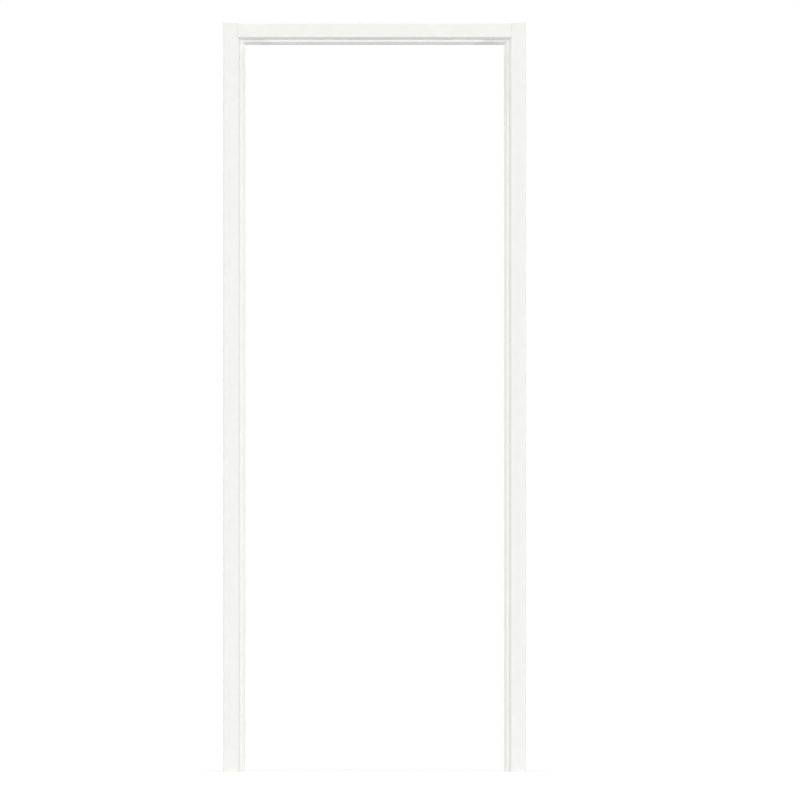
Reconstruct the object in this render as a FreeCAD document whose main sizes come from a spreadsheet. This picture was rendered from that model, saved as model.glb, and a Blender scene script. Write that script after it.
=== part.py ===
import FreeCAD, Part
import math
import os
import Sketcher

# An aluminium door lining frame, standing as it is fixed in a wall: Z up, X across the doorway,
# the leaf side facing -Y. The origin is on the floor, in the middle of the frame's width and depth.
#
# Every bar is drawn once, as a section in two directions of its own:
#   across  from the outer edge of the frame towards the opening
#   deep    from the front of the frame towards its back
# and is then run out to its length. The right jamb is the left one's bar turned end for end,
# and the head is the same bar again, laid across the top.

# Driving sizes in millimetres
SIZES = {
    "overall_width": 848.0,
    "overall_height": 2100.0,
    "frame_depth": 100.0,
    "face_width": 40.0,
    "face_bevel": 6.0,
    "rebate_depth": 45.0,
    "stop_land": 8.0,
    "stop_bevel": 7.0,
    "liner_wall": 1.8,
    "liner_rib": 1.5,
    "trim_wall": 1.5,
    "trim_arris": 3.0,
    "edge_round": 0.8,
    "wall_standoff": 10.0,
    "trim_foot": 8.0,
    "trim_leg_end": 26.0,
    "slot_floor": 28.0,
    "snap_tooth": 0.6,
    "snap_lip": 1.2,
    "snap_pitch": 3.0,
    "fit_gap": 0.3,
    "trim_joint": 0.8,
    "seal_mouth": 3.0,
    "seal_root_width": 5.2,
    "seal_root_depth": 2.4,
    "seal_lip": 1.2,
    "seal_bulb_width": 7.0,
    "seal_bulb_height": 7.0,
    "seal_bulb_round": 1.6,
    "seal_wall": 0.8,
    "bracket_width": 20.0,
    "bracket_thickness": 3.0,
    "bracket_leg": 85.0,
    "bracket_hook": 4.0,
    "screw_radius": 2.5,
    "screw_length": 8.0,
    "screw_socket": 1.5,
    "screw_socket_depth": 3.0,
    "screw_point": 1.0,
    "screw_tip": 1.5,
    "screw_first": 22.0,
    "screw_pitch": 26.0,
    "fixing_radius": 2.75,
    "fixing_line": 33.5,
    "fixing_first": 150.0,
    "fixing_last": 150.0,
}
FIXING_COUNT = 4
TOOTH_COUNT = 5

doc = FreeCAD.newDocument("door_frame")
sheet = doc.addObject("Spreadsheet::Sheet", "Sizes")
for row, (alias, value) in enumerate(SIZES.items(), start=1):
    sheet.set(f"A{row}", alias.replace("_", " "))
    sheet.set(f"B{row}", str(value))
    sheet.setAlias(f"B{row}", alias)
doc.recompute()


class Length:
    """A length in millimetres, with the expression that ties it to the sheet."""

    def __init__(self, value, text):
        self.value = value
        self.text = text

    def __add__(self, other):
        return Length(self.value + other.value, f"({self.text} + {other.text})")

    def __sub__(self, other):
        return Length(self.value - other.value, f"({self.text} - {other.text})")

    def __mul__(self, factor):
        return Length(self.value * factor, f"({self.text} * {factor!r})")

    def __neg__(self):
        return self * -1.0


def size(alias):
    return Length(SIZES[alias], f"Sizes.{alias}")


ZERO = Length(0.0, "0")
DIAGONAL = math.sqrt(2.0)
SAME_PLACE = 1e-4

width = size("overall_width")
height = size("overall_height")
depth = size("frame_depth")
gap = size("fit_gap")
liner_wall = size("liner_wall")
trim_wall = size("trim_wall")

# Lines of the frame, measured across from its outer edge
rebate_line = size("face_width") + size("face_bevel")
stop_edge = rebate_line + size("stop_land")
reveal_line = stop_edge + size("stop_bevel")

# A casing's bevelled lip is this deep where it meets the bar
lip_depth = size("face_bevel") + trim_wall * DIAGONAL
slot_width = trim_wall + size("snap_tooth") + gap * 2.0


def drive(thing, path, length):
    """Tie one property to the sheet."""
    thing.setExpression(path, length.text)


def origin_part(body, role):
    for feature in body.Origin.OriginFeatures:
        if feature.Role == role:
            return feature
    raise ValueError(f"no {role} in {body.Label}")


def new_body(name):
    body = doc.addObject("PartDesign::Body", name)
    body.Label = name
    return body


def new_sketch(body, name, role, lift=None):
    """A sketch on one of the body's own planes, lifted off it by a length."""
    sketch = body.newObject("Sketcher::SketchObject", name)
    sketch.AttachmentSupport = [(origin_part(body, role), "")]
    sketch.MapMode = "FlatFace"
    if lift is not None:
        drive(sketch, "AttachmentOffset.Base.z", lift)
    return sketch


def pin_point(sketch, geometry, position, across, deep):
    """Hold a point of the sketch at its two driven distances from the origin."""
    for kind, length in (("DistanceX", across), ("DistanceY", deep)):
        index = sketch.addConstraint(
            Sketcher.Constraint(kind, -1, 1, geometry, position, length.value)
        )
        drive(sketch, f"Constraints[{index}]", length)


def draw_loop(sketch, points):
    """A closed loop of straight lines through driven points."""
    first = sketch.GeometryCount
    count = len(points)
    for number, (across, deep) in enumerate(points):
        next_across, next_deep = points[(number + 1) % count]
        start = FreeCAD.Vector(across.value, deep.value, 0)
        end = FreeCAD.Vector(next_across.value, next_deep.value, 0)
        sketch.addGeometry(Part.LineSegment(start, end))
    for number, (across, deep) in enumerate(points):
        line = first + number
        next_line = first + (number + 1) % count
        sketch.addConstraint(Sketcher.Constraint("Coincident", line, 2, next_line, 1))
        pin_point(sketch, line, 1, across, deep)


def draw_circle(sketch, across, deep, radius):
    """A circle with a driven centre and radius."""
    centre = FreeCAD.Vector(across.value, deep.value, 0)
    circle = sketch.addGeometry(Part.Circle(centre, FreeCAD.Vector(0, 0, 1), radius.value))
    pin_point(sketch, circle, 3, across, deep)
    index = sketch.addConstraint(Sketcher.Constraint("Radius", circle, radius.value))
    drive(sketch, f"Constraints[{index}]", radius)


def run_out(body, sketch, length, both_ways=False):
    """Pad a section along its bar."""
    pad = body.newObject("PartDesign::Pad", f"{sketch.Name}_run")
    pad.Profile = sketch
    if both_ways:
        pad.SideType = "Symmetric"
    drive(pad, "Length", length)
    doc.recompute()


def cut_through(body, sketch):
    """Pocket a sketch both ways through the whole bar."""
    pocket = body.newObject("PartDesign::Pocket", f"{sketch.Name}_cut")
    pocket.Profile = sketch
    pocket.SideType = "Symmetric"
    pocket.Type = "ThroughAll"
    doc.recompute()
    return pocket


def round_edges(body, corners, second="y"):
    """Fillet the long edges that stand on the given corners of the section."""
    feature = body.Tip
    for across, deep, radius in corners:
        names = []
        for number, edge in enumerate(feature.Shape.Edges, start=1):
            ends = [vertex.Point for vertex in edge.Vertexes]
            misses = [math.hypot(end.x - across.value, getattr(end, second) - deep.value) for end in ends]
            if len(ends) == 2 and max(misses) < SAME_PLACE:
                names.append(f"Edge{number}")
        fillet = body.newObject("PartDesign::Fillet", f"{body.Name}_round")
        fillet.Base = (feature, names)
        drive(fillet, "Radius", radius)
        doc.recompute()
        feature = fillet


def mitre(body, length, start, end):
    """Cut the bar's ends at 45 degrees, long on the outer edge of the frame."""
    over = reveal_line + size("stop_land")
    if start:
        sketch = new_sketch(body, f"{body.Name}_first_mitre", "XZ_Plane")
        draw_loop(sketch, [(-over, -over), (over, -over), (over, over)])
        cut_through(body, sketch)
    if end:
        sketch = new_sketch(body, f"{body.Name}_last_mitre", "XZ_Plane")
        draw_loop(sketch, [(-over, length + over), (over, length + over), (over, length - over)])
        cut_through(body, sketch)


def place(thing, corner, turn):
    """Stand a finished piece in the frame, its corner tied to the sheet."""
    thing.Placement = FreeCAD.Placement(
        FreeCAD.Vector(*(length.value for length in corner)), turn
    )
    for axis, length in zip("xyz", corner):
        drive(thing, f"Placement.Base.{axis}", length)


def turned(x_axis, y_axis, z_axis):
    """The rotation that lays a bar's own three directions along these."""
    columns = FreeCAD.Matrix()
    columns.A11, columns.A21, columns.A31 = x_axis
    columns.A12, columns.A22, columns.A32 = y_axis
    columns.A13, columns.A23, columns.A33 = z_axis
    return FreeCAD.Placement(columns).Rotation


front = -depth * 0.5
outer = width * 0.5

# Where each bar starts and how it lies: across, deep and along, as directions of the frame
UPRIGHT = turned((1, 0, 0), (0, 1, 0), (0, 0, 1))
HANGING = turned((-1, 0, 0), (0, 1, 0), (0, 0, -1))
LAID_ACROSS = turned((0, 0, -1), (0, 1, 0), (1, 0, 0))


def place_bar(body, side, inset=ZERO):
    if side == "left":
        place(body, (-outer, front, ZERO), UPRIGHT)
    elif side == "right":
        place(body, (outer, front, height), HANGING)
    else:
        place(body, (inset - outer, front, height), LAID_ACROSS)


# The frame bar: front slot, rebate, seal groove, stop, reveal, back slot and bracket groove

front_edge = lip_depth + gap
back_edge = depth - front_edge
back_slot_floor = depth - size("slot_floor")
front_slot_floor = size("slot_floor")
skin_back = rebate_line - liner_wall
reveal_back = reveal_line - liner_wall

groove_centre = rebate_line + size("stop_land") * 0.5
root_half = size("seal_root_width") * 0.5 + gap
mouth_half = size("seal_mouth") * 0.5
groove_shelf = size("rebate_depth") + size("seal_lip")
groove_floor = groove_shelf + size("seal_root_depth") + gap * 2.0

hook_inner = skin_back - size("bracket_thickness") - gap * 2.0
hook_outer = hook_inner - size("liner_rib")
bracket_half = size("bracket_width") * 0.5 + gap
groove_front = depth * 0.5 - bracket_half
groove_back = depth * 0.5 + bracket_half


def slot_side(inner_wall):
    """Where a trim slot's rib stands beside the bar's skin: its near and far side."""
    near = inner_wall - slot_width
    return near, near - size("liner_rib")


def liner_outline():
    """The section's outer line; a lip in each slot's mouth holds the casing's teeth."""
    rib = size("liner_rib")
    tooth = size("snap_tooth")
    lip = size("snap_lip")
    rebate = size("rebate_depth")
    front_near, front_far = slot_side(skin_back)
    back_near, back_far = slot_side(reveal_back)
    hook = size("bracket_hook")
    return [
        (rebate_line, front_edge),
        (rebate_line, rebate),
        (groove_centre - mouth_half, rebate),
        (groove_centre - mouth_half, groove_shelf),
        (groove_centre - root_half, groove_shelf),
        (groove_centre - root_half, groove_floor),
        (groove_centre + root_half, groove_floor),
        (groove_centre + root_half, groove_shelf),
        (groove_centre + mouth_half, groove_shelf),
        (groove_centre + mouth_half, rebate),
        (stop_edge, rebate),
        (reveal_line, rebate + size("stop_bevel")),
        (reveal_line, back_edge),
        (reveal_back, back_edge),
        (reveal_back, back_slot_floor),
        (back_near, back_slot_floor),
        (back_near, back_edge - lip),
        (back_near + tooth, back_edge - lip),
        (back_near + tooth, back_edge),
        (back_far, back_edge),
        (back_far, back_slot_floor),
        (skin_back, back_slot_floor),
        (skin_back, groove_back + rib),
        (hook_outer, groove_back + rib),
        (hook_outer, groove_back - hook),
        (hook_inner, groove_back - hook),
        (hook_inner, groove_back),
        (skin_back, groove_back),
        (skin_back, groove_front),
        (hook_inner, groove_front),
        (hook_inner, groove_front + hook),
        (hook_outer, groove_front + hook),
        (hook_outer, groove_front - rib),
        (skin_back, groove_front - rib),
        (skin_back, front_slot_floor + rib),
        (front_far, front_slot_floor + rib),
        (front_far, front_edge),
        (front_near + tooth, front_edge),
        (front_near + tooth, front_edge + lip),
        (front_near, front_edge + lip),
        (front_near, front_slot_floor),
        (skin_back, front_slot_floor),
        (skin_back, front_edge),
    ]


def liner_chamber():
    """The hollow behind the stop."""
    chamber_front = groove_floor + size("liner_rib")
    chamber_back = back_slot_floor - size("liner_rib")
    bevel_shift = stop_edge - size("rebate_depth") - liner_wall * DIAGONAL
    return [
        (rebate_line, chamber_front),
        (bevel_shift + chamber_front, chamber_front),
        (reveal_back, reveal_back - bevel_shift),
        (reveal_back, chamber_back),
        (rebate_line, chamber_back),
    ]


def fixing_holes(body, first):
    """Screw holes through the rebate side, in a row up the jamb."""
    sketch = new_sketch(body, f"{body.Name}_fixing", "YZ_Plane")
    draw_circle(sketch, size("fixing_line"), first, size("fixing_radius"))
    hole = cut_through(body, sketch)
    row_of_holes = body.newObject("PartDesign::LinearPattern", f"{body.Name}_fixings")
    row_of_holes.Originals = [hole]
    row_of_holes.Direction = (origin_part(body, "Z_Axis"), [""])
    row_of_holes.Occurrences = FIXING_COUNT
    drive(row_of_holes, "Length", height - size("fixing_first") - size("fixing_last"))
    body.Tip = row_of_holes
    doc.recompute()


def make_liner(name, side):
    length = width if side == "head" else height
    body = new_body(name)
    sketch = new_sketch(body, f"{name}_section", "XY_Plane")
    draw_loop(sketch, liner_outline())
    draw_loop(sketch, liner_chamber())
    run_out(body, sketch, length)
    round_edges(body, [
        (stop_edge, size("rebate_depth"), size("edge_round")),
        (reveal_line, size("rebate_depth") + size("stop_bevel"), size("edge_round")),
    ])
    mitre(body, length, side != "left", side != "right")
    if side == "left":
        fixing_holes(body, size("fixing_first"))
    if side == "right":
        fixing_holes(body, size("fixing_last"))
    place_bar(body, side)
    return body


# The casings: a flat face with a bevelled lip, a return that stands on the wall, and a toothed
# leg that snaps behind the lip of the bar's slot

def mirror_deep(points):
    """The same section seen from the back of the frame."""
    return [(across, depth - deep) for across, deep in points]


def casing_outline(inner_line):
    bevel = size("face_bevel")
    standoff = size("wall_standoff")
    face_end = inner_line - bevel
    inside_shift = inner_line - lip_depth
    return [
        (ZERO, ZERO),
        (face_end, ZERO),
        (inner_line, bevel),
        (inner_line, lip_depth),
        (inside_shift + trim_wall, trim_wall),
        (trim_wall, trim_wall),
        (trim_wall, standoff - trim_wall),
        (size("trim_foot"), standoff - trim_wall),
        (size("trim_foot"), standoff),
        (ZERO, standoff),
    ]


def casing_leg(inner_line):
    """A strip from inside the bevelled lip to near the slot's floor, with a row of saw teeth."""
    far = inner_line - liner_wall - gap
    near = far - trim_wall
    tip = near - size("snap_tooth")
    inside_shift = inner_line - lip_depth
    root = trim_wall * 0.5
    points = [
        (near, near - inside_shift - root),
        (far, far - inside_shift - root),
        (far, size("trim_leg_end")),
        (near, size("trim_leg_end")),
    ]
    for number in reversed(range(TOOTH_COUNT)):
        barb = front_edge + size("snap_lip") + gap + size("snap_pitch") * number
        points.append((near, barb + size("snap_lip")))
        points.append((tip, barb + size("snap_lip") * 0.25))
        points.append((tip, barb))
        points.append((near, barb))
    return points


def scribe(body, length, at_back):
    """Cut the head casing's ends at 45 degrees through its depth, to lie along the jambs' bevels."""
    near, far = -reveal_line, reveal_line
    if at_back:
        near, far = depth + reveal_line, depth - reveal_line
    ends = (
        ("first", -reveal_line, reveal_line),
        ("last", length + reveal_line, length - reveal_line),
    )
    for end, beyond, within in ends:
        sketch = new_sketch(body, f"{body.Name}_{end}_scribe", "YZ_Plane")
        draw_loop(sketch, [(near, beyond), (far, beyond), (far, within)])
        cut_through(body, sketch)


def make_casing(name, side, inner_line, at_back):
    outline = casing_outline(inner_line)
    leg = casing_leg(inner_line)
    face_end = inner_line - size("face_bevel")
    corners = [
        (ZERO, ZERO, size("trim_arris")),
        (trim_wall, trim_wall, size("trim_arris") - trim_wall),
        (face_end, ZERO, size("edge_round")),
    ]
    if at_back:
        outline = mirror_deep(outline)
        leg = mirror_deep(leg)
        corners = [(across, depth - deep, radius) for across, deep, radius in corners]
    inset = face_end + size("trim_joint")
    notch = inner_line + size("liner_rib")
    length = height
    leg_start = ZERO
    leg_length = height - notch
    if side == "right":
        leg_start = notch
    if side == "head":
        length = width - inset * 2.0
        leg_length = length
    body = new_body(name)
    section = new_sketch(body, f"{name}_section", "XY_Plane")
    draw_loop(section, outline)
    run_out(body, section, length)
    round_edges(body, corners)
    strip = new_sketch(body, f"{name}_leg", "XY_Plane", leg_start)
    draw_loop(strip, leg)
    run_out(body, strip, leg_length)
    if side == "head":
        scribe(body, length, at_back)
    place_bar(body, side, inset)
    return body


# The bulb seal: a flat-fronted hollow bulb before the stop, on a neck with a root in its groove

def make_seal(name, side):
    length = width if side == "head" else height
    wall = size("seal_wall")
    round_over = size("seal_bulb_round")
    bulb_back = size("rebate_depth") - gap
    bulb_front = bulb_back - size("seal_bulb_height")
    bulb_near = groove_centre - size("seal_bulb_width") * 0.5
    bulb_far = groove_centre + size("seal_bulb_width") * 0.5
    neck_half = mouth_half - gap
    neck_top = bulb_back - wall * 0.5
    root_top = groove_shelf + gap
    root_bottom = root_top + size("seal_root_depth")
    half = size("seal_root_width") * 0.5
    body = new_body(name)
    root = new_sketch(body, f"{name}_root", "XY_Plane")
    draw_loop(root, [
        (groove_centre - neck_half, neck_top),
        (groove_centre - neck_half, root_top),
        (groove_centre - half, root_top),
        (groove_centre - half, root_bottom),
        (groove_centre + half, root_bottom),
        (groove_centre + half, root_top),
        (groove_centre + neck_half, root_top),
        (groove_centre + neck_half, neck_top),
    ])
    run_out(body, root, length)
    bulb = new_sketch(body, f"{name}_bulb", "XY_Plane")
    draw_loop(bulb, [
        (bulb_near, bulb_front),
        (bulb_far, bulb_front),
        (bulb_far, bulb_back),
        (bulb_near, bulb_back),
    ])
    draw_loop(bulb, [
        (bulb_near + wall, bulb_front + wall),
        (bulb_far - wall, bulb_front + wall),
        (bulb_far - wall, bulb_back - wall),
        (bulb_near + wall, bulb_back - wall),
    ])
    run_out(body, bulb, length)
    round_edges(body, [
        (bulb_near, bulb_front, round_over),
        (bulb_far, bulb_front, round_over),
        (bulb_near, bulb_back, round_over * 0.5),
        (bulb_far, bulb_back, round_over * 0.5),
        (bulb_near + wall, bulb_front + wall, round_over - wall),
        (bulb_far - wall, bulb_front + wall, round_over - wall),
    ])
    mitre(body, length, side != "left", side != "right")
    place_bar(body, side)
    return body


# Each corner's angle bracket lies in the bars' grooves behind the mitre and is clamped there
# by set screws, two in each leg

bracket_near = hook_inner + gap
bracket_far = bracket_near + size("bracket_thickness")
bracket_end = bracket_near + size("bracket_leg")
screw_places = [
    bracket_end - size("screw_first"),
    bracket_end - size("screw_first") - size("screw_pitch"),
]


def make_bracket(name, side):
    body = new_body(name)
    section = new_sketch(body, f"{name}_angle", "XZ_Plane")
    draw_loop(section, [
        (bracket_near, -bracket_near),
        (bracket_end, -bracket_near),
        (bracket_end, -bracket_far),
        (bracket_far, -bracket_far),
        (bracket_far, -bracket_end),
        (bracket_near, -bracket_end),
    ])
    run_out(body, section, size("bracket_width"), both_ways=True)
    bend = [
        (bracket_near, -bracket_near, size("bracket_thickness")),
        (bracket_far, -bracket_far, size("edge_round")),
    ]
    round_edges(body, bend, second="z")
    tapped = size("screw_radius") + gap * 0.5
    upright = new_sketch(body, f"{name}_upright_taps", "YZ_Plane")
    for along in screw_places:
        draw_circle(upright, ZERO, -along, tapped)
    cut_through(body, upright)
    level = new_sketch(body, f"{name}_level_taps", "XY_Plane")
    for along in screw_places:
        draw_circle(level, along, ZERO, tapped)
    cut_through(body, level)
    if side == "left":
        place(body, (-outer, ZERO, height), UPRIGHT)
    else:
        place(body, (outer, ZERO, height), turned((-1, 0, 0), (0, -1, 0), (0, 0, 1)))
    return body


def make_set_screw(name, tip, turn):
    """A socket set screw with a coned point, its own axis running from socket to tip."""
    shank_length = size("screw_length") - size("screw_point")
    shank = doc.addObject("Part::Cylinder", f"{name}_shank")
    drive(shank, "Radius", size("screw_radius"))
    drive(shank, "Height", shank_length)
    point = doc.addObject("Part::Cone", f"{name}_point")
    drive(point, "Radius1", size("screw_radius"))
    drive(point, "Radius2", size("screw_tip"))
    drive(point, "Height", size("screw_point"))
    place(point, (ZERO, ZERO, shank_length), FreeCAD.Rotation())
    stud = doc.addObject("Part::Fuse", f"{name}_stud")
    stud.Base = shank
    stud.Tool = point
    socket = doc.addObject("Part::Prism", f"{name}_socket")
    socket.Polygon = 6
    drive(socket, "Circumradius", size("screw_socket"))
    drive(socket, "Height", size("screw_socket_depth"))
    screw = doc.addObject("Part::Cut", name)
    screw.Base = stud
    screw.Tool = socket
    place(screw, tip, turn)
    return screw


def make_corner_screws(name, side):
    """Four set screws that bear on the back of the bars' skin."""
    screws = []
    start = skin_back - size("screw_length")
    for number, along in enumerate(screw_places):
        if side == "left":
            upright_place = (start - outer, ZERO, height - along)
            upright_turn = turned((0, 1, 0), (0, 0, 1), (1, 0, 0))
            level_place = (along - outer, ZERO, height - start)
        else:
            upright_place = (outer - start, ZERO, height - along)
            upright_turn = turned((0, -1, 0), (0, 0, 1), (-1, 0, 0))
            level_place = (outer - along, ZERO, height - start)
        level_turn = turned((1, 0, 0), (0, -1, 0), (0, 0, -1))
        screws.append(make_set_screw(f"{name}_upright_{number}", upright_place, upright_turn))
        screws.append(make_set_screw(f"{name}_level_{number}", level_place, level_turn))
    group = doc.addObject("Part::Compound", name)
    group.Label = name
    group.Links = screws
    return group


pieces = []
for side in ("left", "right", "head"):
    pieces.append(make_liner(f"{side}_liner", side))
    pieces.append(make_casing(f"{side}_front_trim", side, rebate_line, False))
    pieces.append(make_casing(f"{side}_back_trim", side, reveal_line, True))
    pieces.append(make_seal(f"{side}_seal", side))
for side in ("left", "right"):
    pieces.append(make_bracket(f"{side}_corner_bracket", side))
    pieces.append(make_corner_screws(f"{side}_corner_screws", side))
doc.recompute()

for thing in doc.Objects:
    if "Invalid" in thing.State or "Error" in thing.State:
        raise RuntimeError(f"{thing.Label} did not build: {thing.State}")
os.makedirs("parts", exist_ok=True)
for piece in pieces:
    if piece.Shape.isNull() or not piece.Shape.isValid():
        raise RuntimeError(f"{piece.Label} has no valid shape")
for piece in pieces:
    piece.Shape.exportStep(f"parts/{piece.Label}.step")
    print(piece.Label, len(piece.Shape.Solids), "solids", round(piece.Shape.Volume), "mm3")
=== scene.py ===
# %% [markdown]
# # A white aluminium door frame
# This lesson dresses a finished construction model. The bars, casings, brackets and seals of a
# door frame are already there at their real size. What is left for Blender is what the eye
# judges: the powder coating, the bare saw cuts, the soft seal, the threads of the set screws, and
# the plain light in which white still shows its edges.

# %% Load the frame
import math
import bmesh
import bpy
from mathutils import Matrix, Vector


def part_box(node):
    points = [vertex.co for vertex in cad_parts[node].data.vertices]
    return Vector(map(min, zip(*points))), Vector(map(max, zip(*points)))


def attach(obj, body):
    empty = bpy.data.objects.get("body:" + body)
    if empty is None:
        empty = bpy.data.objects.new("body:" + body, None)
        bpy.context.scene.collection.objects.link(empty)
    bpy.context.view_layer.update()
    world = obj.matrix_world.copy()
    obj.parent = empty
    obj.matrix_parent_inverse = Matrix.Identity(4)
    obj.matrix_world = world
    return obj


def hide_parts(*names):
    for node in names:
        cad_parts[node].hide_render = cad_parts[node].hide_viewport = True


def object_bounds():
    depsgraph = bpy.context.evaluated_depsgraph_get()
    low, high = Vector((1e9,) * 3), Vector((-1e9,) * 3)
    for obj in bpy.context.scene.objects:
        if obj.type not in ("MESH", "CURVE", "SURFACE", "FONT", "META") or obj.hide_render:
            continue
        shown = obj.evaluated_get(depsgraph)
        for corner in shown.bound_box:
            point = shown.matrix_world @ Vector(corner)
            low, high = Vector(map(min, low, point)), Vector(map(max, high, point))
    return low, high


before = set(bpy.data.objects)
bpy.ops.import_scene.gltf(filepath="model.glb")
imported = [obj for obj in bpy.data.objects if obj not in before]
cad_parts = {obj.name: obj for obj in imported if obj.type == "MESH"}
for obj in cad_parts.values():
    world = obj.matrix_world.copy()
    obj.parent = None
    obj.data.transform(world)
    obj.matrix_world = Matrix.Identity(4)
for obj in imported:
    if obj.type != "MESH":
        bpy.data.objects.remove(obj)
cad_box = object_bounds()
low, high = cad_box
width = high.x - low.x
depth = high.y - low.y
height = high.z - low.z
MM = 0.001
MERGE = 0.001 * MM
print(f"door frame {width:.3f} x {depth:.3f} x {height:.3f} m, {len(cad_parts)} pieces")

# %% [markdown]
# ## Colours and nodes
# Colours are picked in sRGB, as a paint card or a photograph gives them, but shaders work in
# linear light. One function does the change. A second one adds a shader node with its settings
# and links, so each material below reads like a recipe.

# %% Two small helpers
def linear(hex_colour):
    """An sRGB hex colour as linear RGBA."""
    channels = [int(hex_colour[i:i + 2], 16) / 255 for i in (0, 2, 4)]
    curve = [c / 12.92 if c <= 0.04045 else ((c + 0.055) / 1.055) ** 2.4 for c in channels]
    return (*curve, 1.0)


def add_node(tree, kind, settings=None, **inputs):
    """Add a node, set its properties, and give each input a value or a link.

    An input goes by its name, or by its number, as _0 for the first.
    """
    node = tree.nodes.new(kind)
    for name, value in (settings or {}).items():
        setattr(node, name, value)
    for name, value in inputs.items():
        socket = node.inputs[int(name[1:])] if name[1:].isdigit() else node.inputs[name.replace("_", " ")]
        if isinstance(value, bpy.types.NodeSocket):
            tree.links.new(value, socket)
        else:
            socket.default_value = value
    return node


def new_material(name):
    """An empty node material and its tree."""
    material = bpy.data.materials.new(name)
    material.use_nodes = True
    material.node_tree.nodes.clear()
    return material, material.node_tree


print("white of the coating in linear light:", [round(c, 3) for c in linear("F3F4F1")[:3]])

# %% [markdown]
# ## Powder-coated aluminium
# The bars are extruded 6060 aluminium with a baked polyester powder coating, about 70 microns of
# satin white. Powder melts and flows in the oven, so it never lies dead flat: it has a faint
# orange peel, with waves of 1 to 2 mm, and a broader swell where the film is thicker. Waves that
# fine vanish at this distance, so the swell is drawn 14 mm wide to show at all.
# Behind the casings the spray gun hardly reaches. There the film is thin and greyer, and the
# die's lines along the extrusion show through. A bar is also sawn after coating, so its end is
# bare metal with the marks of the saw.
# All three zones are told apart by Object coordinates, because the pieces stand at their place in
# the mesh: this works the same on every bar and in every view.

# %% Values of the coating
COAT_WHITE = "F3F4F1"
THICK_COAT = "F2F3EF"
COAT_ROUGHNESS = 0.5
ROUGHNESS_SPREAD = 0.03
COAT_IOR = 1.5
PEEL_WAVE = 1.6 * MM
PEEL_DEPTH = 0.07 * MM
SWELL_WAVE = 14.0 * MM
SWELL_DEPTH = 0.04 * MM
SWELL_STRENGTH = 0.3
SWELL_BAND = (0.35, 0.65)
THIN_COAT = "D9DBD9"
PALE_THIN_COAT = "E6E7E4"
DIE_LINE = 0.9 * MM
DIE_CHANGES_A_METRE = 3.0
DIE_DEPTH = 0.02 * MM
DIE_STRENGTH = 0.35
SAWN_METAL = "C6C8CA"
SAWN_ROUGHNESS = 0.38
SAW_MARK = 0.7 * MM
SAW_CHANGES_A_METRE = 60.0
SAW_DEPTH = 0.03 * MM
SAW_STRENGTH = 0.5
SAW_FRINGE = 0.05 * MM
print(f"peel {PEEL_WAVE / MM:.1f} mm, swell {SWELL_WAVE / MM:.0f} mm, saw marks {SAW_MARK / MM:.1f} mm")

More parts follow.
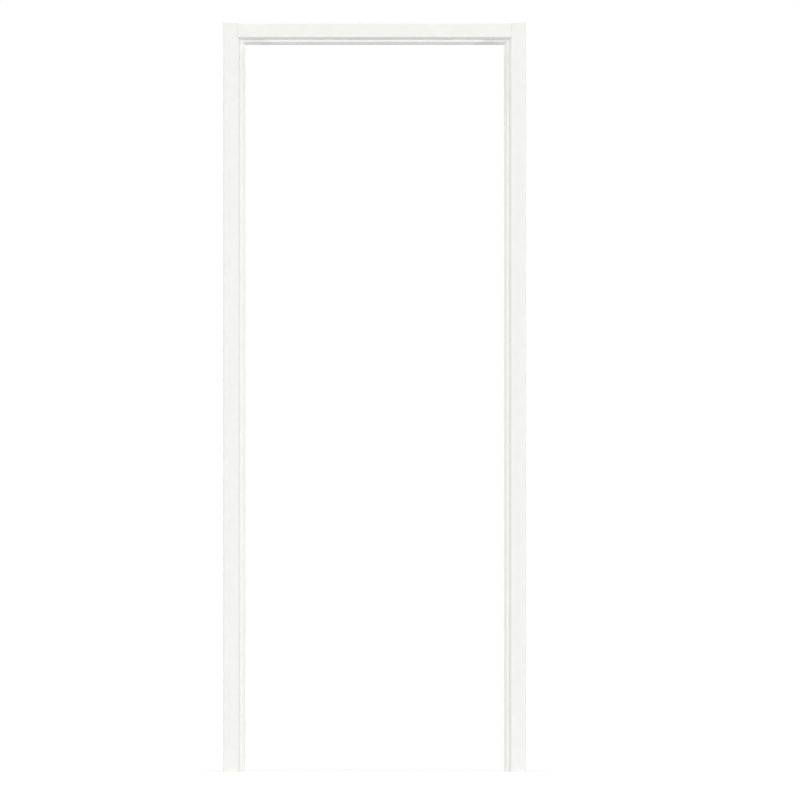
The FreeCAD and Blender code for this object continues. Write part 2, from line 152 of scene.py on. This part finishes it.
# %% Build the coating
def powder_coating(name, run_axis, in_throat):
    """White coating on a bar that runs along an axis; in_throat marks what faces the wall."""
    material, tree = new_material(name)
    place = add_node(tree, "ShaderNodeTexCoord").outputs["Object"]
    axes = add_node(tree, "ShaderNodeSeparateXYZ", _0=place).outputs
    throat = in_throat(tree, axes)
    film = add_node(tree, "ShaderNodeTexNoise", Vector=place, Scale=1 / SWELL_WAVE, Detail=2.0)
    shade = add_node(
        tree, "ShaderNodeMapRange", _0=film.outputs[0], _1=SWELL_BAND[0], _2=SWELL_BAND[1]
    ).outputs[0]
    white = add_node(tree, "ShaderNodeMix", {"data_type": "RGBA"}, _0=shade)
    white.inputs[6].default_value = linear(COAT_WHITE)
    white.inputs[7].default_value = linear(THICK_COAT)
    # Die lines are long along the bar and narrow across it
    stretch = [1 / DIE_LINE] * 3
    stretch["XYZ".index(run_axis)] = DIE_CHANGES_A_METRE
    along_bar = add_node(tree, "ShaderNodeMapping", Vector=place, Scale=stretch).outputs[0]
    lines = add_node(tree, "ShaderNodeTexNoise", Vector=along_bar, Scale=1.0, Detail=1.0).outputs[0]
    thin = add_node(tree, "ShaderNodeMix", {"data_type": "RGBA"}, _0=lines)
    thin.inputs[6].default_value = linear(THIN_COAT)
    thin.inputs[7].default_value = linear(PALE_THIN_COAT)
    colour = add_node(
        tree, "ShaderNodeMix", {"data_type": "RGBA"}, _0=throat, _6=white.outputs[2], _7=thin.outputs[2]
    ).outputs[2]
    peel = add_node(tree, "ShaderNodeTexNoise", Vector=place, Scale=1 / PEEL_WAVE, Detail=1.0).outputs[0]
    peel_bump = add_node(tree, "ShaderNodeBump", Strength=1.0, Distance=PEEL_DEPTH, Height=peel)
    swell_bump = add_node(
        tree, "ShaderNodeBump", Strength=SWELL_STRENGTH, Distance=SWELL_DEPTH,
        Height=film.outputs[0], Normal=peel_bump.outputs[0],
    )
    line_height = add_node(tree, "ShaderNodeMath", {"operation": "MULTIPLY"}, _0=throat, _1=lines)
    die_bump = add_node(
        tree, "ShaderNodeBump", Strength=DIE_STRENGTH, Distance=DIE_DEPTH,
        Height=line_height.outputs[0], Normal=swell_bump.outputs[0],
    )
    gloss = add_node(
        tree, "ShaderNodeMapRange", _0=shade,
        _3=COAT_ROUGHNESS - ROUGHNESS_SPREAD, _4=COAT_ROUGHNESS + ROUGHNESS_SPREAD,
    ).outputs[0]
    coat = add_node(
        tree, "ShaderNodeBsdfPrincipled",
        Base_Color=colour, Roughness=gloss, IOR=COAT_IOR, Normal=die_bump.outputs[0],
    )
    output = add_node(tree, "ShaderNodeOutputMaterial")
    if run_axis == "X":
        tree.links.new(coat.outputs[0], output.inputs[0])
        return material
    # The saw leaves straight, slightly uneven marks across the bar's end
    saw_stretch = (1 / SAW_MARK, SAW_CHANGES_A_METRE, 1.0)
    across_cut = add_node(tree, "ShaderNodeMapping", Vector=place, Scale=saw_stretch).outputs[0]
    marks = add_node(tree, "ShaderNodeTexNoise", Vector=across_cut, Scale=1.0, Detail=2.0).outputs[0]
    mark_bump = add_node(tree, "ShaderNodeBump", Strength=SAW_STRENGTH, Distance=SAW_DEPTH, Height=marks)
    metal = add_node(
        tree, "ShaderNodeBsdfPrincipled",
        Base_Color=linear(SAWN_METAL), Metallic=1.0, Roughness=SAWN_ROUGHNESS,
        Normal=mark_bump.outputs[0],
    )
    # A point lies on neither cut where its height is within the bar's own length, less the fringe
    middle = height / 2
    along = add_node(
        tree, "ShaderNodeMath", {"operation": "COMPARE"}, _0=axes[2], _1=middle, _2=middle - SAW_FRINGE
    )
    mix = add_node(
        tree, "ShaderNodeMixShader", _0=along.outputs[0], _1=metal.outputs[0], _2=coat.outputs[0]
    )
    tree.links.new(mix.outputs[0], output.inputs[0])
    return material

# %% [markdown]
# ## Which parts face the wall
# The frame wraps round the end of a wall, and its outer side is an open channel. On the frame
# bars everything outside their back skin faces that channel. On the casings it is the inside of
# the folded sheet. Both limits come from the pieces' own boxes, so they follow the model.

# %% Masks for the channel, and the coating of each group of bars
LINER_WALL = 1.8 * MM
TRIM_WALL = 1.5 * MM
LIP_CLEAR = 8.5 * MM
WALL_SHARE = 0.9

rebate_half = -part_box("left_front_trim")[1].x
skin_half = rebate_half + LINER_WALL * WALL_SHARE
head_skin = height - (width / 2 - skin_half)
sheet_inside = depth / 2 - TRIM_WALL * WALL_SHARE
sheet_from = width / 2 - rebate_half - LIP_CLEAR
sheet_to = TRIM_WALL * WALL_SHARE


def outside_jamb_skin(tree, axes):
    away = add_node(tree, "ShaderNodeMath", {"operation": "ABSOLUTE"}, _0=axes[0]).outputs[0]
    return add_node(tree, "ShaderNodeMath", {"operation": "GREATER_THAN"}, _0=away, _1=skin_half).outputs[0]


def above_head_skin(tree, axes):
    return add_node(
        tree, "ShaderNodeMath", {"operation": "GREATER_THAN"}, _0=axes[2], _1=head_skin
    ).outputs[0]


def inside_sheet(tree, axes, reach, edge):
    """Behind the casing's face, and between its lip and its folded edge."""
    deep = add_node(tree, "ShaderNodeMath", {"operation": "ABSOLUTE"}, _0=axes[1]).outputs[0]
    behind_face = add_node(tree, "ShaderNodeMath", {"operation": "LESS_THAN"}, _0=deep, _1=sheet_inside)
    between = add_node(
        tree, "ShaderNodeMath", {"operation": "COMPARE"},
        _0=reach, _1=edge - (sheet_from + sheet_to) / 2, _2=(sheet_from - sheet_to) / 2,
    )
    return add_node(
        tree, "ShaderNodeMath", {"operation": "MINIMUM"}, _0=behind_face.outputs[0], _1=between.outputs[0]
    ).outputs[0]


def inside_upright_casing(tree, axes):
    away = add_node(tree, "ShaderNodeMath", {"operation": "ABSOLUTE"}, _0=axes[0]).outputs[0]
    return inside_sheet(tree, axes, away, width / 2)


def inside_head_casing(tree, axes):
    return inside_sheet(tree, axes, axes[2], height)


coatings = {
    ("liner", False): powder_coating("powder-coated aluminium bar", "Z", outside_jamb_skin),
    ("liner", True): powder_coating("powder-coated aluminium head bar", "X", above_head_skin),
    ("trim", False): powder_coating("powder-coated aluminium casing", "Z", inside_upright_casing),
    ("trim", True): powder_coating("powder-coated aluminium head casing", "X", inside_head_casing),
}
for node_name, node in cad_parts.items():
    kind = node_name.split("_")[-1]
    if kind in ("liner", "trim"):
        node.data.materials.clear()
        node.data.materials.append(coatings[kind, node_name.startswith("head")])
print("coated", sum(n.endswith(("liner", "trim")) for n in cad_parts), "bars and casings")

# %% [markdown]
# ## Corner brackets
# Behind each mitre lies a bent strip of zinc-plated steel. Barrel zinc is bright but never even:
# the plating clouds in patches a few millimetres wide, which a noise in the roughness gives.

# %% Zinc-plated steel
ZINC_ROUGHNESS = (0.3, 0.5)
ZINC_BAND = (0.3, 0.7)
ZINC_DEPTH = 0.02 * MM
ZINC_STRENGTH = 0.2


def zinc_plating(name, colour, cloud):
    """Bright zinc whose gloss changes in clouds of a given size."""
    material, tree = new_material(name)
    place = add_node(tree, "ShaderNodeTexCoord").outputs["Object"]
    clouds = add_node(tree, "ShaderNodeTexNoise", Vector=place, Scale=1 / cloud, Detail=3.0).outputs[0]
    rough = add_node(
        tree, "ShaderNodeMapRange", _0=clouds,
        _1=ZINC_BAND[0], _2=ZINC_BAND[1], _3=ZINC_ROUGHNESS[0], _4=ZINC_ROUGHNESS[1],
    )
    bump = add_node(tree, "ShaderNodeBump", Strength=ZINC_STRENGTH, Distance=ZINC_DEPTH, Height=clouds)
    steel = add_node(
        tree, "ShaderNodeBsdfPrincipled",
        Base_Color=linear(colour), Metallic=1.0, Roughness=rough.outputs[0], Normal=bump.outputs[0],
    )
    output = add_node(tree, "ShaderNodeOutputMaterial")
    tree.links.new(steel.outputs[0], output.inputs[0])
    return material


bracket_zinc = zinc_plating("zinc-plated bracket steel", "C4C7C9", 4.0 * MM)
screw_zinc = zinc_plating("zinc-plated screw steel", "B4B7BA", 1.5 * MM)
for side in ("left", "right"):
    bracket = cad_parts[f"{side}_corner_bracket"]
    bracket.data.materials.clear()
    bracket.data.materials.append(bracket_zinc)
print("plated the two brackets")

# %% [markdown]
# ## The bulb seal
# A seal of soft white TPE sits in the stop and takes the closing leaf. It is extruded as one
# section: a thin-walled bulb with a flat, slightly crowned front, on a short neck with a root
# that is pushed into the stop's groove. The section is drawn here as a flat filled curve with a
# hole, which Blender extrudes into a clean walled bulb. Each run is then sheared at its corner
# ends, so that the lengths meet in a mitre as the bars do. The same thing by hand in mesh code
# would need its own filling of the holed ends.

# %% The seal's section
NECK_HALF = 1.2 * MM
ROOT_HALF = 2.6 * MM
ROOT_DEPTH = 2.4 * MM
NECK_DEPTH = 1.8 * MM
BULB_WALL = 0.8 * MM
FRONT_ROUND = 0.8 * MM
BACK_ROUND = 0.8 * MM
FRONT_CROWN = 0.1 * MM
LEAST_ROUND = 0.2 * MM
ARC_STEPS = 8

seal_low, seal_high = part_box("left_seal")
bulb_half = (seal_high.x - seal_low.x) / 2
seal_across = (seal_high.x + seal_low.x) / 2 + width / 2
bulb_front = seal_low.y
root_back = seal_high.y
root_front = root_back - ROOT_DEPTH
bulb_back = root_front - NECK_DEPTH


def arc(centre_across, centre_deep, radius, first_quarter):
    """A quarter turn of points, from one of the four compass quarters to the next."""
    turns = [math.pi / 2 * (first_quarter + step / ARC_STEPS) for step in range(ARC_STEPS + 1)]
    return [(centre_across + radius * math.cos(t), centre_deep + radius * math.sin(t)) for t in turns]


def bulb_loop(inset):
    """The bulb's outline, drawn in by an inset, from the neck's one side round to its other."""
    half = bulb_half - inset
    front, back = bulb_front + FRONT_CROWN + inset, bulb_back - inset
    front_round = FRONT_ROUND - inset
    back_round = max(BACK_ROUND - inset, LEAST_ROUND)
    flat = half - front_round
    points = arc(half - back_round, back - back_round, back_round, 0)[::-1]
    points += arc(half - front_round, front + front_round, front_round, 3)[::-1]
    for step in range(1, ARC_STEPS):
        offset = flat * (1 - 2 * step / ARC_STEPS)
        points.append((offset, front - FRONT_CROWN * (1 - (offset / flat) ** 2)))
    points += arc(front_round - half, front + front_round, front_round, 2)[::-1]
    points += arc(back_round - half, back - back_round, back_round, 1)[::-1]
    return points


def seal_outline():
    """Outer line of the section: the bulb, then the neck and the root."""
    points = bulb_loop(0.0)
    points += [(-NECK_HALF, bulb_back), (-NECK_HALF, root_front), (-ROOT_HALF, root_front)]
    points += [(-ROOT_HALF, root_back), (ROOT_HALF, root_back), (ROOT_HALF, root_front)]
    points += [(NECK_HALF, root_front), (NECK_HALF, bulb_back)]
    return points


print(f"seal: bulb {2 * bulb_half / MM:.1f} mm across, {seal_across / MM:.1f} mm in from the edge")

# %% Extrude the section and lay it along each bar
def section_mesh(name):
    """The section as a solid of unit length, from z -0.5 to 0.5."""
    curve = bpy.data.curves.new(name, "CURVE")
    curve.dimensions = "2D"
    curve.fill_mode = "BOTH"
    curve.extrude = 0.5
    for loop in (seal_outline(), bulb_loop(BULB_WALL)):
        spline = curve.splines.new("POLY")
        spline.points.add(len(loop) - 1)
        for point, (across, deep) in zip(spline.points, loop):
            point.co = (across, deep, 0.0, 1.0)
        spline.use_cyclic_u = True
    holder = bpy.data.objects.new(name, curve)
    bpy.context.scene.collection.objects.link(holder)
    bpy.context.view_layer.update()
    mesh = bpy.data.meshes.new_from_object(holder.evaluated_get(bpy.context.evaluated_depsgraph_get()))
    bpy.data.objects.remove(holder)
    bpy.data.curves.remove(curve)
    return mesh


def lay_seal(side):
    """Stretch the section to its bar: at a mitred end the length depends on how far in it lies."""
    mesh = section_mesh(f"{side}_bulb_seal")
    for vertex in mesh.vertices:
        offset, deep, along = vertex.co.x, vertex.co.y, vertex.co.z + 0.5
        across = seal_across + offset
        if side == "head":
            reach = width / 2 - across
            vertex.co = (reach * (2 * along - 1), deep, height - across)
        else:
            turn = -1 if side == "left" else 1
            vertex.co = (turn * (width / 2 - across), deep, (height - across) * along)
    return mesh


print(f"head seal {2 * (width / 2 - seal_across) / MM:.0f} mm long at the middle of its bulb")

# %% [markdown]
# ## Soft white TPE
# The nozzle leaves a very fine uneven skin on a soft extrusion. It is drawn 3 mm wide here so that
# it shows, as a slight change of gloss. The seal is a little whiter than the coating beside it: it
# lies deep in the rebate and still reads as the lightest line.

# %% Values and material of the seal
SEAL_WHITE = "F8F8F6"
SEAL_IOR = 1.49
SEAL_ROUGHNESS = (0.5, 0.62)
SKIN_WAVE = 3.0 * MM
SKIN_BAND = (0.3, 0.7)
SKIN_DEPTH = 0.03 * MM
SKIN_STRENGTH = 0.2


def soft_seal_material():
    material, tree = new_material("white TPE seal")
    place = add_node(tree, "ShaderNodeTexCoord").outputs["Object"]
    skin = add_node(tree, "ShaderNodeTexNoise", Vector=place, Scale=1 / SKIN_WAVE, Detail=2.0).outputs[0]
    bump = add_node(tree, "ShaderNodeBump", Strength=SKIN_STRENGTH, Distance=SKIN_DEPTH, Height=skin)
    rough = add_node(
        tree, "ShaderNodeMapRange", _0=skin,
        _1=SKIN_BAND[0], _2=SKIN_BAND[1], _3=SEAL_ROUGHNESS[0], _4=SEAL_ROUGHNESS[1],
    )
    body = add_node(
        tree, "ShaderNodeBsdfPrincipled",
        Base_Color=linear(SEAL_WHITE), Roughness=rough.outputs[0], IOR=SEAL_IOR, Normal=bump.outputs[0],
    )
    output = add_node(tree, "ShaderNodeOutputMaterial")
    tree.links.new(body.outputs[0], output.inputs[0])
    return material


soft_seal = soft_seal_material()
print("made", soft_seal.name)

# %% Make the three seals
CREASE = math.radians(40)


def close_and_turn_out(mesh):
    """Merge doubled points, then point every face outwards."""
    work = bmesh.new()
    work.from_mesh(mesh)
    bmesh.ops.remove_doubles(work, verts=work.verts, dist=MERGE)
    bmesh.ops.recalc_face_normals(work, faces=work.faces)
    work.to_mesh(mesh)
    work.free()


def make_seal(side):
    mesh = lay_seal(side)
    close_and_turn_out(mesh)
    mesh.shade_smooth()
    mesh.set_sharp_from_angle(angle=CREASE)
    mesh.materials.clear()
    mesh.materials.append(soft_seal)
    seal = bpy.data.objects.new(f"{side}_bulb_seal", mesh)
    bpy.context.scene.collection.objects.link(seal)
    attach(seal, "root")
    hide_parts(f"{side}_seal")
    print(seal.name, len(mesh.polygons), "faces")


for side in ("left", "right", "head"):
    make_seal(side)

# %% [markdown]
# ## Set screws
# Four set screws clamp each bracket. A set screw is a threaded stub with a hexagon socket and no
# head, and with a short cone at its tip that bites into the bar. All eight are the same, so a
# Geometry Nodes tree makes one and puts it on points: a core with the socket cut out of it, and a
# thin ridge wound round it. The points carry the direction that each screw drives in. A modelled
# thread catches the light as a real one does, where a bump would stay flat at the outline.

# %% Sizes of a set screw
SCREW_SIZES = {
    "Radius": 2.5 * MM,
    "Length": 8.0 * MM,
    "Pitch": 0.8 * MM,
    "Point": 1.0 * MM,
    "Tip Radius": 1.5 * MM,
    "Socket Radius": 1.5 * MM,
    "Socket Depth": 3.0 * MM,
}
RIDGE_SHARE = 0.42
SCREW_SIDES = 32
THREAD_STEPS = 24
print("set screw, in mm:", {name: round(value / MM, 2) for name, value in SCREW_SIZES.items()})

# %% The core and the thread of one screw
def screw_body(tree, given, core):
    """The core with a coned point and a hexagon socket; its socket end is at minus half its length."""
    share = add_node(tree, "ShaderNodeMath", {"operation": "DIVIDE"}, _0=given["Length"], _1=given["Point"])
    rows = add_node(tree, "ShaderNodeMath", {"operation": "ROUND"}, _0=share.outputs[0])
    shank = add_node(
        tree, "GeometryNodeMeshCylinder",
        Vertices=SCREW_SIDES, Side_Segments=rows.outputs[0], Radius=core, Depth=given["Length"],
    )
    # The last row of the side is as long as the point, so a narrower end face makes the cone
    narrow = add_node(tree, "ShaderNodeMath", {"operation": "DIVIDE"}, _0=given["Tip Radius"], _1=core)
    stud = add_node(
        tree, "GeometryNodeScaleElements",
        Geometry=shank.outputs["Mesh"], Selection=shank.outputs["Top"], Scale=narrow.outputs[0],
    )
    # The cutting hexagon stands half outside the mouth, so it is twice as long as the socket
    bit_length = add_node(
        tree, "ShaderNodeMath", {"operation": "MULTIPLY"}, _0=given["Socket Depth"], _1=2.0
    )
    hexagon = add_node(
        tree, "GeometryNodeMeshCylinder",
        Vertices=6, Radius=given["Socket Radius"], Depth=bit_length.outputs[0],
    )
    mouth = add_node(tree, "ShaderNodeMath", {"operation": "MULTIPLY"}, _0=given["Length"], _1=-0.5)
    bit = add_node(
        tree, "GeometryNodeTransform", Geometry=hexagon.outputs["Mesh"],
        Translation=add_node(tree, "ShaderNodeCombineXYZ", Z=mouth.outputs[0]).outputs[0],
    )
    cut = add_node(tree, "GeometryNodeMeshBoolean", {"operation": "DIFFERENCE"}, _0=stud.outputs[0])
    tree.links.new(bit.outputs[0], cut.inputs[1])
    return cut.outputs["Mesh"]


def screw_thread(tree, given, core, ridge):
    """A ridge wound round the core, one pitch shorter than the length behind the point."""
    threaded = add_node(
        tree, "ShaderNodeMath", {"operation": "SUBTRACT"}, _0=given["Length"], _1=given["Point"]
    ).outputs[0]
    back = add_node(tree, "ShaderNodeMath", {"operation": "MULTIPLY"}, _0=given["Point"], _1=-0.5).outputs[0]
    wound = add_node(
        tree, "ShaderNodeMath", {"operation": "SUBTRACT"}, _0=threaded, _1=given["Pitch"]
    ).outputs[0]
    turns = add_node(tree, "ShaderNodeMath", {"operation": "DIVIDE"}, _0=wound, _1=given["Pitch"])
    helix = add_node(
        tree, "GeometryNodeCurveSpiral", Resolution=THREAD_STEPS, Rotations=turns.outputs[0],
        Start_Radius=core, End_Radius=core, Height=wound,
    )
    start = add_node(tree, "ShaderNodeMath", {"operation": "MULTIPLY_ADD"}, _0=wound, _1=-0.5, _2=back)
    placed = add_node(
        tree, "GeometryNodeTransform", Geometry=helix.outputs[0],
        Translation=add_node(tree, "ShaderNodeCombineXYZ", Z=start.outputs[0]).outputs[0],
    )
    tooth = add_node(tree, "GeometryNodeCurvePrimitiveCircle", Resolution=4, Radius=ridge)
    return add_node(
        tree, "GeometryNodeCurveToMesh",
        Curve=placed.outputs[0], Profile_Curve=tooth.outputs["Curve"], Fill_Caps=True,
    ).outputs[0]


print("a core with", SCREW_SIDES, "sides and a ridge with", THREAD_STEPS, "steps a turn")

# %% A node tree that puts the screw on every point
def set_screw_tree(material):
    """The whole tree, with one named input for each size."""
    tree = bpy.data.node_groups.new("set screws on points", "GeometryNodeTree")
    tree.interface.new_socket("Geometry", in_out="INPUT", socket_type="NodeSocketGeometry")
    for name in SCREW_SIZES:
        tree.interface.new_socket(name, in_out="INPUT", socket_type="NodeSocketFloat")
    tree.interface.new_socket("Geometry", in_out="OUTPUT", socket_type="NodeSocketGeometry")
    given = add_node(tree, "NodeGroupInput").outputs
    ridge = add_node(
        tree, "ShaderNodeMath", {"operation": "MULTIPLY"}, _0=given["Pitch"], _1=RIDGE_SHARE
    ).outputs[0]
    core = add_node(
        tree, "ShaderNodeMath", {"operation": "SUBTRACT"}, _0=given["Radius"], _1=ridge
    ).outputs[0]
    body = screw_body(tree, given, core)
    thread = screw_thread(tree, given, core, ridge)
    screw = add_node(tree, "GeometryNodeJoinGeometry")
    for part in (body, thread):
        tree.links.new(part, screw.inputs[0])
    way = add_node(tree, "GeometryNodeInputNamedAttribute", {"data_type": "FLOAT_VECTOR"}, Name="drive_way")
    turn = add_node(tree, "FunctionNodeAlignRotationToVector", {"axis": "Z"}, Vector=way.outputs[0])
    placed = add_node(
        tree, "GeometryNodeInstanceOnPoints",
        Points=given["Geometry"], Instance=screw.outputs[0], Rotation=turn.outputs[0],
    )
    real = add_node(tree, "GeometryNodeRealizeInstances", Geometry=placed.outputs[0])
    painted = add_node(tree, "GeometryNodeSetMaterial", Geometry=real.outputs[0], Material=material)
    add_node(tree, "NodeGroupOutput", Geometry=painted.outputs[0])
    return tree


screw_tree = set_screw_tree(screw_zinc)
print("screw tree has", len(screw_tree.nodes), "nodes")

# %% [markdown]
# ## Where the screws go
# The construction model already holds plain screws at their true places. Each lies in one of the
# bracket's two legs, so the points can be read from the separate lumps of that node's mesh: the
# middle of each lump is the middle of a screw, and its longest side is the way the screw drives.
# Radius and length are measured there too, and take the place of those in the table above.

# %% Read the places and make the screws
def lumps(mesh):
    """The loose parts of a mesh, as lists of vertex places, in the order of their first vertices."""
    work = bmesh.new()
    work.from_mesh(mesh)
    bmesh.ops.remove_doubles(work, verts=work.verts, dist=MERGE)
    met = set()
    found = []
    for first in work.verts:
        if first in met:
            continue
        met.add(first)
        heap = [first]
        places = []
        while heap:
            vertex = heap.pop()
            places.append(vertex.co.copy())
            for edge in vertex.link_edges:
                other = edge.other_vert(vertex)
                if other not in met:
                    met.add(other)
                    heap.append(other)
        found.append(places)
    work.free()
    return found


def screw_points(side):
    """One point a screw, with the direction from its socket to its tip, and the size of a screw."""
    middles, ways = [], []
    for places in lumps(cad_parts[f"{side}_corner_screws"].data):
        corner_low = Vector([min(p[i] for p in places) for i in range(3)])
        corner_high = Vector([max(p[i] for p in places) for i in range(3)])
        spans = corner_high - corner_low
        middles.append((corner_low + corner_high) / 2)
        if spans.x > spans.z:
            ways.append((1.0 if side == "left" else -1.0, 0.0, 0.0))
        else:
            ways.append((0.0, 0.0, -1.0))
    mesh = bpy.data.meshes.new(f"{side}_screw_points")
    mesh.from_pydata(middles, [], [])
    drive_way = mesh.attributes.new("drive_way", "FLOAT_VECTOR", "POINT")
    drive_way.data.foreach_set("vector", [value for way in ways for value in way])
    return mesh, {"Radius": min(spans) / 2, "Length": max(spans)}


def make_screws(side):
    points, measured = screw_points(side)
    holder = bpy.data.objects.new(f"{side}_screw_points", points)
    bpy.context.scene.collection.objects.link(holder)
    modifier = holder.modifiers.new("screws", "NODES")
    modifier.node_group = screw_tree
    sizes = SCREW_SIZES | measured
    for item in screw_tree.interface.items_tree:
        if item.in_out == "INPUT" and item.name in sizes:
            modifier[item.identifier] = sizes[item.name]
    holder.update_tag()
    bpy.context.view_layer.update()
    mesh = bpy.data.meshes.new_from_object(holder.evaluated_get(bpy.context.evaluated_depsgraph_get()))
    bpy.data.objects.remove(holder)
    screws = bpy.data.objects.new(f"{side}_threaded_screws", mesh)
    bpy.context.scene.collection.objects.link(screws)
    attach(screws, "root")
    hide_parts(f"{side}_corner_screws")
    print(screws.name, len(mesh.polygons), "faces")


for side in ("left", "right"):
    make_screws(side)

# %% [markdown]
# ## Floor and background
# The frame stands on a plain pale floor. To the camera and in reflections the floor is a shade
# paler and adds a little light of its own to the light that falls on it, so it comes out as white
# as the background and still keeps a trace of shadow. To every other ray it is plain and greyer,
# so that it doesn't light the frame from below.

# %% Make the floor
FLOOR_HALF = 30.0
FLOOR_COLOUR = "9C9C9A"
FLOOR_SEEN = "D0D0CF"
FLOOR_GLOW = 0.56


def make_floor():
    mesh = bpy.data.meshes.new("floor")
    corners = [(-FLOOR_HALF, -FLOOR_HALF, 0), (FLOOR_HALF, -FLOOR_HALF, 0)]
    corners += [(FLOOR_HALF, FLOOR_HALF, 0), (-FLOOR_HALF, FLOOR_HALF, 0)]
    mesh.from_pydata(corners, [], [(0, 1, 2, 3)])
    material, tree = new_material("pale floor")
    rays = add_node(tree, "ShaderNodeLightPath").outputs
    seen = add_node(
        tree, "ShaderNodeMath", {"operation": "MAXIMUM"}, _0=rays["Is Camera Ray"], _1=rays["Is Glossy Ray"]
    ).outputs[0]
    paint = add_node(tree, "ShaderNodeMix", {"data_type": "RGBA"}, _0=seen)
    paint.inputs[6].default_value = linear(FLOOR_COLOUR)
    paint.inputs[7].default_value = linear(FLOOR_SEEN)
    matt = add_node(tree, "ShaderNodeBsdfDiffuse", Color=paint.outputs[2])
    level = add_node(tree, "ShaderNodeMath", {"operation": "MULTIPLY"}, _0=seen, _1=FLOOR_GLOW)
    glow = add_node(tree, "ShaderNodeEmission", Strength=level.outputs[0])
    total = add_node(tree, "ShaderNodeAddShader", _0=matt.outputs[0], _1=glow.outputs[0])
    output = add_node(tree, "ShaderNodeOutputMaterial")
    tree.links.new(total.outputs[0], output.inputs[0])
    mesh.materials.append(material)
    floor = bpy.data.objects.new("floor", mesh)
    bpy.context.scene.collection.objects.link(floor)


make_floor()
print("floor", 2 * FLOOR_HALF, "m across")

# %% [markdown]
# ## Light
# White on white only reads through small differences of light, so each lamp has one task. A lamp
# straight in front gives the flat faces their level and reaches the seal at the bottom of the
# rebate, because it stands level with the frame and no lip shades it. Two lamps far out to the
# sides fill the sloping edges of the jambs, the right one a little stronger: the left jamb's
# edges come out lightest, the right jamb's darker, and the head's darkest, as no lamp shines
# upwards. One soft lamp overhead lights the top and gives the floor its shadow, which falls
# straight back. One behind, and two weak ones beside it, light the back. All are sun lamps, so
# the foot gets as much light as the head, and an even background light fills the rest.

# %% Make the lights
SKY_LEVEL = 0.25
LAMP_AWAY = 4.0
SUNS = (
    ("front", (0.0, -1.0, 0.0025), 1.05, 0.25),
    ("right side", (0.9, -0.43, 0.006), 1.14, 0.6),
    ("left side", (-0.9, -0.43, 0.006), 0.92, 0.6),
    ("overhead", (0.0, -0.17, 0.98), 1.5, 15.0),
    ("behind", (0.0, 1.0, 0.005), 1.9, 0.5),
    ("right behind", (0.9, 0.43, 0.006), 0.2, 0.6),
    ("left behind", (-0.9, 0.43, 0.006), 0.2, 0.6),
)


def make_sun(name, towards, level, spread):
    """A sun lamp in a direction seen from the frame, with its spread in degrees."""
    lamp = bpy.data.lights.new(name, "SUN")
    lamp.energy = level
    lamp.angle = math.radians(spread)
    sun = bpy.data.objects.new(name, lamp)
    sun.rotation_euler = towards.to_track_quat("Z", "Y").to_euler()
    sun.location = towards * LAMP_AWAY
    bpy.context.scene.collection.objects.link(sun)


def make_world():
    world = bpy.data.worlds.new("white room")
    world.use_nodes = True
    tree = world.node_tree
    tree.nodes.clear()
    rays = add_node(tree, "ShaderNodeLightPath").outputs
    seen = rays["Is Camera Ray"]
    for ray in ("Is Glossy Ray", "Is Transmission Ray"):
        seen = add_node(tree, "ShaderNodeMath", {"operation": "MAXIMUM"}, _0=seen, _1=rays[ray]).outputs[0]
    strength = add_node(tree, "ShaderNodeMapRange", _0=seen, _1=0.0, _2=1.0, _3=SKY_LEVEL, _4=1.0).outputs[0]
    sky = add_node(tree, "ShaderNodeBackground", Color=(1.0, 1.0, 1.0, 1.0), Strength=strength)
    output = add_node(tree, "ShaderNodeOutputWorld")
    tree.links.new(sky.outputs[0], output.inputs[0])
    bpy.context.scene.world = world


make_world()
for sun_name, towards, level, spread in SUNS:
    make_sun(sun_name, Vector(towards), level, spread)
bpy.context.scene.view_settings.view_transform = "Standard"
print("lit by a background of", SKY_LEVEL, "and", len(SUNS), "suns")

# %% [markdown]
# ## Camera
# The photograph looks square at the frame with next to no perspective, so the camera stands far
# back with a very long lens. Its place follows from where the frame lies in the 800 pixel
# picture: the scale is the frame's width over its width in pixels. 80 metres are far enough for
# that, and near enough that a view from any other side still works with the same camera.

# %% Make the camera
PICTURE = 800
FRAME_LEFT_PX, FRAME_RIGHT_PX = 223.3, 525.9
FRAME_TOP_PX, FRAME_FOOT_PX = 22.7, 772.1
CAMERA_BACK = 80.0
CAMERA_SEES_TO = 400.0

metres_per_pixel = width / (FRAME_RIGHT_PX - FRAME_LEFT_PX)
aim_x = (PICTURE / 2 - (FRAME_LEFT_PX + FRAME_RIGHT_PX) / 2) * metres_per_pixel
aim_z = height / 2 - (PICTURE / 2 - (FRAME_TOP_PX + FRAME_FOOT_PX) / 2) * metres_per_pixel
lens = bpy.data.cameras.new("camera")
lens.lens = lens.sensor_width * CAMERA_BACK / (PICTURE * metres_per_pixel)
lens.clip_end = CAMERA_SEES_TO
camera = bpy.data.objects.new("camera", lens)
camera.location = (aim_x, low.y - CAMERA_BACK, aim_z)
camera.rotation_euler = (math.radians(90), 0, 0)
bpy.context.scene.collection.objects.link(camera)
bpy.context.scene.camera = camera
print(f"lens {lens.lens:.0f} mm, {metres_per_pixel / MM:.3f} mm a pixel")
